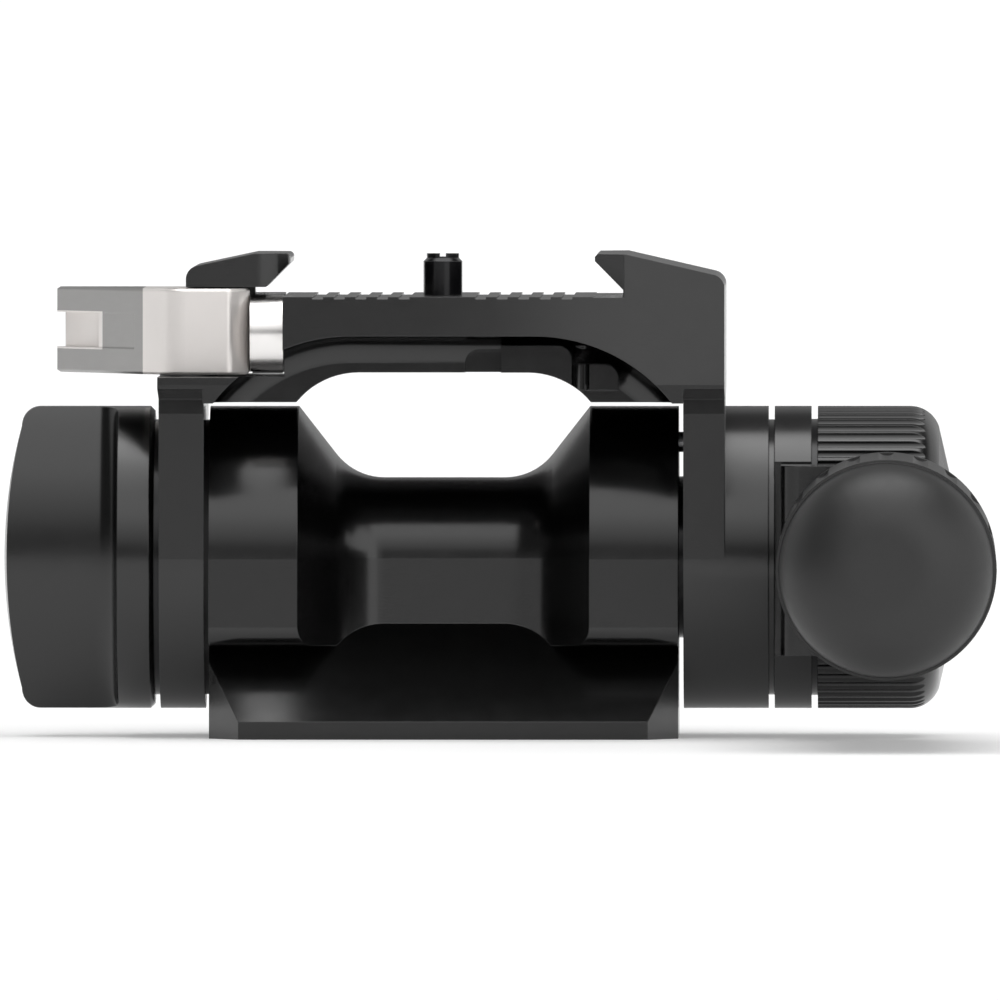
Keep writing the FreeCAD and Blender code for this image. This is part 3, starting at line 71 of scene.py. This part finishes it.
# Black anodising: its gloss, and how far its edges are rounded and worn
BEVEL_SAMPLES = 4
BLACK_IOR = 1.6
EDGE_RADIUS = 0.14 * MM
WORN_RADIUS = 0.18 * MM
WORN_BLACK = (0.05, 0.05, 0.052, 1.0)

# The lever: where its bright hub starts, how sharp that border is, and how much less metallic the hub is
HUB_START = -32.37 * MM
HUB_EDGE = 0.05 * MM
HUB_SATIN = 0.5

# The scoop at the lever's tip, which gets a painted highlight as pale as the hub
SCOOP_END = -36.9 * MM
SCOOP_LOW = 41.75 * MM
SCOOP_HIGH = 45.85 * MM

# The platform's milled faces: where they are, and how far they lean from flat
FACING_FRONT = -0.9
BRIDGE_FRONT = -24.5 * MM
BRIDGE_LOW = 38.2 * MM
BRIDGE_LEAN = 0.012
CROWN_MIDDLE = -5.0 * MM
CROWN_SLOPE = 6.0
CROWN_MOST = 0.15
KEEL_LOW = 35.0 * MM
KEEL_HIGH = 44.0 * MM
KEEL_LEAN = 0.055

# The handle's block: how far it reaches at its outer corners, as a share of the grip's radius, the angle from
# which its edges are sharp, and the distance below which two of its points are one
CORNER_REACH = 0.95
SHARP = math.radians(30.0)
SAME_PLACE = 0.001 * MM

# Studio. Brightness straight over the object, by degrees from the horizon in front to the horizon behind
LIGHT_OVER = (
    (0.0, 0.22), (8.0, 0.3), (14.0, 0.8), (24.0, 1.2), (33.0, 1.6), (53.0, 1.7), (63.0, 2.0), (74.0, 2.4),
    (86.0, 3.3), (99.0, 3.5), (107.0, 2.9), (114.0, 0.25), (130.0, 0.16), (180.0, 0.16),
)
# Brightness round the horizon, by degrees from behind, past the left side, the front and the right side
LIGHT_ROUND = (
    (0.0, 0.25), (20.0, 0.6), (85.0, 0.6), (95.0, 0.12), (170.0, 0.12), (187.0, 0.25), (193.0, 1.5),
    (230.0, 1.5), (260.0, 1.1), (340.0, 0.6), (360.0, 0.25),
)
HALF_TURN = 180.0
FULL_TURN = 360.0
NEVER_ZERO = 0.0001
# A colour ramp's stops hold 0 to 1, so brightness is divided by LIGHT_SCALE in them
LIGHT_SCALE = 4.0
# How wide the strip over the object is, up to what height in degrees the panels round it are full and reach,
# and how bright the rest of the room is
STRIP_WIDTH = 0.33
STRIP_EDGE = 0.27
ROUND_FULL = 30.0
ROUND_TOP = 50.0
ROOM = 0.12
# The world is white below the horizon, like the floor
HORIZON_EDGE = 0.004
FLOOR_SIZE = 80.0
FLOOR_SHADE = 0.78
FLOOR_GLOW = 0.25
FLOOR_ROUGHNESS = 0.7
FLOOR_GLOSS = 0.2
WHITE = (1.0, 1.0, 1.0, 1.0)


def make_camera():
    """A long lens, a little above the object and to its right, framed like the photograph."""
    data = bpy.data.cameras.new("camera")
    data.lens = LENS
    data.sensor_width = SENSOR
    data.clip_start = NEAREST_SEEN
    data.clip_end = FARTHEST_SEEN
    camera = bpy.data.objects.new("camera", data)
    bpy.context.scene.collection.objects.link(camera)
    distance = PHOTO_SIZE / PIXELS_PER_MM * MM * LENS / SENSOR
    middle = PHOTO_SIZE / 2
    across = (middle - CENTRE_PIXEL_X) / PIXELS_PER_MM * MM
    upright = (FLOOR_PIXEL_Y - middle) / PIXELS_PER_MM * MM
    height = (upright - FRONT_PLANE * math.sin(ELEVATION)) / math.cos(ELEVATION)
    back = Vector((
        math.sin(AZIMUTH) * math.cos(ELEVATION),
        -math.cos(AZIMUTH) * math.cos(ELEVATION),
        math.sin(ELEVATION),
    ))
    camera.location = Vector((across, FRONT_PLANE, height)) + back * distance
    camera.rotation_mode = "QUATERNION"
    camera.rotation_quaternion = (-back).to_track_quat("-Z", "Y")
    bpy.context.scene.camera = camera


def grey(level):
    """An opaque neutral colour."""
    return (level, level, level, 1.0)


def times(colour, factor):
    """A colour of three numbers, brighter or darker, with an opaque alpha."""
    return tuple(part * factor for part in colour) + (1.0,)


class Tree:
    """Short calls for making and joining the nodes of a node tree."""

    def __init__(self, tree):
        self.tree = tree

    def node(self, kind, **inputs):
        """A new node, with values or links for its named inputs."""
        made = self.tree.nodes.new(kind)
        for name, amount in inputs.items():
            self.put(made.inputs[name.replace("_", " ")], amount)
        return made

    def put(self, socket, amount):
        """Link a socket to another node's output, or set it to a constant."""
        if isinstance(amount, bpy.types.NodeSocket):
            self.tree.links.new(amount, socket)
        else:
            socket.default_value = amount

    def place(self, stretch=(1.0, 1.0, 1.0)):
        """Object coordinates, stretched."""
        coordinates = self.node("ShaderNodeTexCoord")
        mapping = self.node("ShaderNodeMapping", Vector=coordinates.outputs["Object"])
        mapping.inputs["Scale"].default_value = stretch
        return mapping.outputs["Vector"]

    def axes(self, vector):
        """The three parts of a vector."""
        return self.node("ShaderNodeSeparateXYZ", Vector=vector).outputs

    def noise(self, place, scale, detail=2.0, roughness=0.5):
        """Noise from 0 to 1."""
        made = self.node("ShaderNodeTexNoise", Vector=place, Scale=scale)
        made.inputs["Detail"].default_value = detail
        made.inputs["Roughness"].default_value = roughness
        return made.outputs["Fac"]

    def span(self, value, low, high):
        """A 0 to 1 value taken to low to high."""
        made = self.node("ShaderNodeMapRange", Value=value)
        made.inputs["To Min"].default_value = low
        made.inputs["To Max"].default_value = high
        return made.outputs["Result"]

    def ramp(self, value, start, end):
        """0 at start and 1 at end, smooth in between."""
        made = self.node("ShaderNodeMapRange", Value=value)
        made.interpolation_type = "SMOOTHSTEP"
        low, high = (0.0, 1.0) if start < end else (1.0, 0.0)
        made.inputs["From Min"].default_value = min(start, end)
        made.inputs["From Max"].default_value = max(start, end)
        made.inputs["To Min"].default_value = low
        made.inputs["To Max"].default_value = high
        return made.outputs["Result"]

    def math(self, operation, first, second=0.0):
        """One calculation with two numbers."""
        made = self.tree.nodes.new("ShaderNodeMath")
        made.operation = operation
        self.put(made.inputs[0], first)
        self.put(made.inputs[1], second)
        return made.outputs[0]

    def product(self, first, *others):
        """All the given numbers, multiplied."""
        for other in others:
            first = self.math("MULTIPLY", first, other)
        return first

    def vector_math(self, operation, first, second, output="Vector"):
        """One calculation with two vectors."""
        made = self.tree.nodes.new("ShaderNodeVectorMath")
        made.operation = operation
        self.put(made.inputs[0], first)
        self.put(made.inputs[1], second)
        return made.outputs[output]

    def turn(self, vector, kind, start, end):
        """A vector taken from one space to another."""
        made = self.node("ShaderNodeVectorTransform", Vector=vector)
        made.vector_type = kind
        made.convert_from = start
        made.convert_to = end
        return made.outputs["Vector"]

    def mix_colour(self, factor, first, second):
        """The first colour at 0 and the second at 1."""
        made = self.tree.nodes.new("ShaderNodeMix")
        made.data_type = "RGBA"
        self.put(made.inputs["Factor"], factor)
        self.put(made.inputs[FIRST_COLOUR], first)
        self.put(made.inputs[SECOND_COLOUR], second)
        return made.outputs[MIXED_COLOUR]

    def bump(self, height, distance, strength, normal=None):
        """A normal that follows a height."""
        made = self.node("ShaderNodeBump", Height=height, Distance=distance, Strength=strength)
        if normal is not None:
            self.put(made.inputs["Normal"], normal)
        return made.outputs["Normal"]

    def bevel(self, radius):
        """A normal that rounds sharp edges."""
        made = self.tree.nodes.new("ShaderNodeBevel")
        made.samples = BEVEL_SAMPLES
        made.inputs["Radius"].default_value = radius
        return made.outputs["Normal"]

    def edge(self, radius, low, high):
        """0 on flat faces and 1 on sharp edges."""
        flat = self.node("ShaderNodeNewGeometry").outputs["Normal"]
        likeness = self.vector_math("DOT_PRODUCT", self.bevel(radius), flat, "Value")
        made = self.node("ShaderNodeMapRange", Value=likeness)
        made.inputs["From Min"].default_value = high
        made.inputs["From Max"].default_value = low
        return made.outputs["Result"]

    def finish(self, **inputs):
        """The surface shader, joined to the output."""
        shader = self.node("ShaderNodeBsdfPrincipled", **inputs)
        output = self.tree.nodes.new("ShaderNodeOutputMaterial")
        self.tree.links.new(shader.outputs["BSDF"], output.inputs["Surface"])


def new_material(name):
    """An empty node material and the calls for its nodes."""
    material = bpy.data.materials.new(name)
    material.use_nodes = True
    material.node_tree.nodes.clear()
    return material, Tree(material.node_tree)


def black_anodised(name="black_anodised", crowned=False):
    """Bead-blasted and black anodised aluminium, a little paler where edges are worn."""
    material, t = new_material(name)
    place = t.place()
    cloud = t.noise(place, scale=90.0, detail=3.0)
    grain = t.noise(place, scale=5200.0)
    rough = t.span(t.noise(place, scale=420.0, detail=4.0, roughness=0.6), low=0.15, high=0.25)
    dark = t.mix_colour(cloud, (0.0008, 0.0008, 0.00082, 1.0), (0.0013, 0.0013, 0.00132, 1.0))
    rubbed = t.span(t.noise(place, scale=700.0, detail=3.0), low=0.15, high=0.6)
    worn = t.product(t.edge(WORN_RADIUS, low=0.80, high=0.995), rubbed)
    normal = t.bump(grain, distance=0.004 * MM, strength=0.6, normal=t.bevel(EDGE_RADIUS))
    if crowned:
        normal = crown(t, place, normal)
    t.finish(Base_Color=t.mix_colour(worn, dark, WORN_BLACK), Roughness=rough, Normal=normal, IOR=BLACK_IOR)
    return material


def crown(t, place, normal):
    """The normal of the platform's milled faces: a slightly crowned front, and a keel that leans back."""
    across, depth, height = t.axes(place)
    flat = t.node("ShaderNodeNewGeometry").outputs["Normal"]
    facing = t.math("LESS_THAN", t.axes(t.turn(flat, "NORMAL", "WORLD", "OBJECT"))["Y"], FACING_FRONT)
    foremost = t.math("LESS_THAN", depth, BRIDGE_FRONT)
    set_back = t.math("GREATER_THAN", depth, BRIDGE_FRONT)
    bridge = t.product(facing, foremost, t.math("GREATER_THAN", height, BRIDGE_LOW))
    under_bridge = t.math("LESS_THAN", height, KEEL_HIGH)
    keel = t.product(facing, set_back, under_bridge, t.math("GREATER_THAN", height, KEEL_LOW))
    sideways = t.product(t.math("SUBTRACT", across, CROWN_MIDDLE), CROWN_SLOPE)
    sideways = t.product(t.math("MINIMUM", sideways, CROWN_MOST), bridge)
    upward = t.math("ADD", t.product(keel, KEEL_LEAN), t.product(bridge, BRIDGE_LEAN))
    lean = t.node("ShaderNodeCombineXYZ", X=sideways, Z=upward).outputs["Vector"]
    leaning = t.vector_math("ADD", normal, t.turn(lean, "VECTOR", "OBJECT", "WORLD"))
    return t.vector_math("NORMALIZE", leaning, (0.0, 0.0, 0.0))


def turned_black():
    """Black anodised aluminium turned about the tilt axis, with fine tool marks round it."""
    material, t = new_material("turned_black")
    place = t.place()
    lines = t.noise(t.place((6000.0, 20.0, 20.0)), scale=1.0, detail=3.0, roughness=0.7)
    rough = t.span(t.noise(place, scale=300.0, detail=3.0), low=0.16, high=0.26)
    cloud = t.noise(place, scale=90.0, detail=3.0)
    colour = t.mix_colour(cloud, (0.001, 0.001, 0.0011, 1.0), (0.0016, 0.0016, 0.0017, 1.0))
    normal = t.bump(lines, distance=0.0012 * MM, strength=0.5, normal=t.bevel(EDGE_RADIUS))
    t.finish(Base_Color=colour, Roughness=rough, Normal=normal, IOR=BLACK_IOR)
    return material


def silver_lever():
    """Bead-blasted clear anodised aluminium, paler and less metallic on the hub, with a painted highlight in
    the scoop.
    """
    material, t = new_material("silver_lever")
    place = t.place()
    across, _, height = t.axes(place)
    hub = t.ramp(across, HUB_START - HUB_EDGE, HUB_START + HUB_EDGE)
    # Painted highlight: by its place, the scoop gets the hub's pale colour and lower metalness, standing in
    # for its reflection
    over_scoop = t.math("GREATER_THAN", height, SCOOP_LOW)
    under_scoop = t.math("LESS_THAN", height, SCOOP_HIGH)
    scoop_highlight = t.product(over_scoop, under_scoop, t.math("LESS_THAN", across, SCOOP_END))
    # The hub's own pale finish, together with the scoop's painted highlight
    pale_hub_and_scoop_highlight = t.math("MAXIMUM", hub, scoop_highlight)
    grain = t.noise(place, scale=6000.0)
    marks = t.noise(t.place((300.0, 300.0, 2500.0)), scale=1.0, detail=3.0, roughness=0.6)
    cloud = t.noise(place, scale=160.0, detail=3.0)
    arm_colour = t.mix_colour(cloud, (0.31, 0.305, 0.3, 1.0), (0.34, 0.335, 0.328, 1.0))
    hub_and_scoop_highlight_colour = t.mix_colour(cloud, (0.84, 0.80, 0.775, 1.0), (0.90, 0.86, 0.83, 1.0))
    colour = t.mix_colour(pale_hub_and_scoop_highlight, arm_colour, hub_and_scoop_highlight_colour)
    metal = t.math("SUBTRACT", 1.0, t.product(pale_hub_and_scoop_highlight, HUB_SATIN))
    rough = t.span(marks, low=0.27, high=0.37)
    normal = t.bump(grain, distance=0.003 * MM, strength=0.5, normal=t.bevel(0.2 * MM))
    t.finish(Base_Color=colour, Metallic=metal, Roughness=rough, Normal=normal)
    return material


def polished(name, colour, roughness):
    """Polished or ground metal with faint marks."""
    material, t = new_material(name)
    place = t.place()
    rough = t.span(t.noise(place, scale=900.0, detail=3.0), low=roughness * 0.75, high=roughness * 1.35)
    lines = t.noise(t.place((3000.0, 60.0, 60.0)), scale=1.0)
    shade = t.mix_colour(t.noise(place, scale=200.0), times(colour, 0.92), times(colour, 1.0))
    normal = t.bump(lines, distance=0.0006 * MM, strength=0.4, normal=t.bevel(0.12 * MM))
    t.finish(Base_Color=shade, Metallic=1.0, Roughness=rough, Normal=normal)
    return material


def black_steel():
    """Glossy black oxide, on the centre pin and the thin washers."""
    material, t = new_material("black_steel")
    rough = t.span(t.noise(t.place(), scale=1200.0, detail=3.0), low=0.14, high=0.24)
    worn = t.product(t.edge(0.12 * MM, low=0.85, high=0.995), 0.5)
    colour = t.mix_colour(worn, (0.008, 0.008, 0.009, 1.0), grey(0.16))
    t.finish(Base_Color=colour, Metallic=0.4, Roughness=rough, Normal=t.bevel(0.1 * MM))
    return material


def rubber():
    """Matte dark moulded rubber with a fine spark-eroded grain."""
    material, t = new_material("grip_rubber")
    place = t.place()
    grain = t.noise(place, scale=4200.0, detail=3.0, roughness=0.6)
    colour = t.mix_colour(t.noise(place, scale=120.0, detail=3.0), grey(0.014), grey(0.018))
    rough = t.span(t.noise(place, scale=600.0, detail=3.0), low=0.4, high=0.5)
    normal = t.bump(grain, distance=0.012 * MM, strength=0.5, normal=t.bevel(0.2 * MM))
    t.finish(Base_Color=colour, Roughness=rough, Normal=normal)
    return material


def nylon():
    """Plain dark engineering plastic."""
    material, t = new_material("nylon")
    place = t.place()
    shade = t.mix_colour(t.noise(place, scale=300.0), grey(0.027), grey(0.03))
    rough = t.span(t.noise(place, scale=900.0), low=0.45, high=0.55)
    normal = t.bump(t.noise(place, scale=4000.0), distance=0.004 * MM, strength=0.4)
    t.finish(Base_Color=shade, Roughness=rough, Normal=normal)
    return material


def dress():
    """Give every piece of the frame its finish, and the handle's block its trimmed corners."""
    black = black_anodised()
    milled = black_anodised("milled_black", crowned=True)
    turned = turned_black()
    oxide = black_steel()
    by_slot = {
        "black_anodised": black,
        "silver_lever": silver_lever(),
        "chrome": polished("chrome", (0.9, 0.88, 0.865), 0.2),
        "steel": polished("steel", (0.42, 0.42, 0.43), 0.25),
        "black_steel": oxide,
        "aluminium": polished("aluminium", (0.6, 0.6, 0.61), 0.3),
        "brass": polished("brass", (0.65, 0.48, 0.2), 0.22),
        "bronze": polished("bronze", (0.45, 0.28, 0.13), 0.35),
        "nylon": nylon(),
        "grip_rubber": rubber(),
    }
    by_name = {
        "platform": milled,
        "handle_ring": turned,
        "handle_knob": turned,
        "drag_cover": turned,
        "lock_washer": oxide,
        "thrust_washer": oxide,
        "clamp_washer": oxide,
    }
    slots = {part["node"]: part["material_slot"] for part in frame["record"]["subparts"]}
    for name, piece in nodes.items():
        piece.data.materials.clear()
        piece.data.materials.append(by_name.get(name, by_slot[slots[name]]))
    trim_arm(black)


def trim_arm(material):
    """The handle's block with its two outer corners cut back behind the round grip."""
    source = nodes["handle_arm"]
    low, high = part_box("handle_grip")
    axis = Vector(((low[0] + high[0]) / 2, 0.0, (low[2] + high[2]) / 2))
    reach = (high[0] - low[0]) / 2 * CORNER_REACH
    mesh = source.data.copy()
    mesh.transform(source.matrix_world)
    # The imported normals don't fit the trimmed shape
    imported_normals = mesh.attributes.get("custom_normal")
    if imported_normals:
        mesh.attributes.remove(imported_normals)
    block = bmesh.new()
    block.from_mesh(mesh)
    bmesh.ops.remove_doubles(block, verts=block.verts, dist=SAME_PLACE)
    for side in (1.0, -1.0):
        outward = Vector((1.0, 0.0, side)).normalized()
        cut = bmesh.ops.bisect_plane(
            block, geom=list(block.verts) + list(block.edges) + list(block.faces),
            plane_co=axis + outward * reach, plane_no=outward, clear_outer=True)
        rim = [item for item in cut["geom_cut"] if isinstance(item, bmesh.types.BMEdge)]
        bmesh.ops.triangle_fill(block, edges=rim, use_beauty=True, normal=outward)
    for edge in block.edges:
        edge.smooth = edge.calc_face_angle(math.pi) < SHARP
    for face in block.faces:
        face.smooth = True
    block.to_mesh(mesh)
    block.free()
    mesh.materials.clear()
    mesh.materials.append(material)
    trimmed = bpy.data.objects.new("handle_arm_trimmed", mesh)
    bpy.context.scene.collection.objects.link(trimmed)
    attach(trimmed, "handle")
    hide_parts("handle_arm")


def light_ramp(w, degrees, full, levels):
    """Brightness at an angle, between the given pairs of angle and brightness."""
    ramp = w.node("ShaderNodeValToRGB", Fac=w.math("DIVIDE", degrees, full))
    stops = ramp.color_ramp.elements
    for angle, brightness in levels:
        place = angle / full
        stop = {0.0: stops[0], 1.0: stops[-1]}.get(place) or stops.new(place)
        stop.color = grey(brightness / LIGHT_SCALE)
    return w.product(ramp.outputs["Color"], LIGHT_SCALE)


def make_world():
    """A plain grey room with a long strip of light over the object and softer panels at its sides."""
    world = bpy.data.worlds.new("world")
    bpy.context.scene.world = world
    world.use_nodes = True
    world.node_tree.nodes.clear()
    w = Tree(world.node_tree)
    x, y, z = w.axes(w.node("ShaderNodeTexCoord").outputs["Generated"])
    ahead = w.product(y, -1.0)
    over = light_ramp(w, w.math("DEGREES", w.math("ARCTAN2", z, ahead)), HALF_TURN, LIGHT_OVER)
    reach = w.math("SQRT", w.math("ADD", w.product(y, y), w.product(z, z)))
    aside = w.math("DIVIDE", w.math("ABSOLUTE", x), w.math("MAXIMUM", reach, NEVER_ZERO))
    over = w.product(over, w.ramp(aside, STRIP_WIDTH + STRIP_EDGE, STRIP_WIDTH))
    turn = w.math("ADD", w.math("DEGREES", w.math("ARCTAN2", x, ahead)), HALF_TURN)
    height = w.math("DEGREES", w.math("ARCSINE", z))
    around = w.product(light_ramp(w, turn, FULL_TURN, LIGHT_ROUND), w.ramp(height, ROUND_TOP, ROUND_FULL))
    light = w.math("MAXIMUM", w.math("MAXIMUM", over, around), ROOM)
    light = w.math("MAXIMUM", light, w.ramp(z, HORIZON_EDGE, 0.0))
    background = w.node("ShaderNodeBackground", Color=WHITE, Strength=light)
    output = w.node("ShaderNodeOutputWorld")
    world.node_tree.links.new(background.outputs["Background"], output.inputs["Surface"])


def make_floor():
    """A white floor that keeps the object's shadow."""
    bpy.ops.mesh.primitive_plane_add(size=FLOOR_SIZE, location=(0.0, 0.0, 0.0))
    floor = bpy.context.object
    floor.name = "floor"
    material, t = new_material("floor")
    paths = t.node("ShaderNodeLightPath").outputs
    seen = t.math("MAXIMUM", paths["Is Camera Ray"], paths["Is Glossy Ray"])
    seen = t.math("MAXIMUM", seen, paths["Is Transmission Ray"])
    t.finish(Base_Color=grey(FLOOR_SHADE), Roughness=FLOOR_ROUGHNESS, Specular_IOR_Level=FLOOR_GLOSS,
             Emission_Color=WHITE, Emission_Strength=t.product(seen, FLOOR_GLOW))
    floor.data.materials.append(material)


bpy.context.scene.view_settings.view_transform = "Standard"
make_camera()
dress()
make_floor()
make_world()
